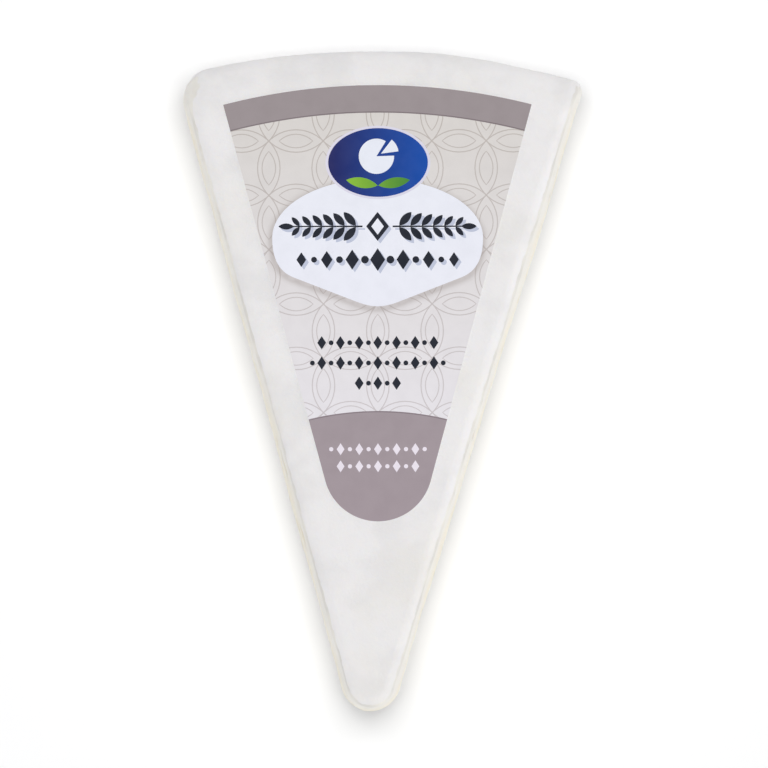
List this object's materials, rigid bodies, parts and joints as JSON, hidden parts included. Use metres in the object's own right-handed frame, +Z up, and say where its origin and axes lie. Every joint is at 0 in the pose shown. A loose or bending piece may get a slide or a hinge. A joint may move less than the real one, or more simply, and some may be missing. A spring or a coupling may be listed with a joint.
{
  "type": "brie wedge",
  "caption": "Cut wedge of white-rind brie: flat top and underside, rolled rim, softly bulging cut sides, and a tapered paper label on top.",
  "frame": {"origin": "centre of the portion's box, on its flat underside", "axes": "+Y from the pointed end to the rind at the back, +Z up through the label, +X to the right seen from above with the point towards the viewer"},
  "size_m": [0.0774, 0.1278, 0.0332],
  "materials": {
    "cheese": "white bloomy rind, soft and matte, over creamy pale yellow paste at the two cut faces",
    "label": "satin printed paper"
  },
  "bodies": {
    "root": {"cheese": "cheese", "label": "label"}
  },
  "joints": []
}
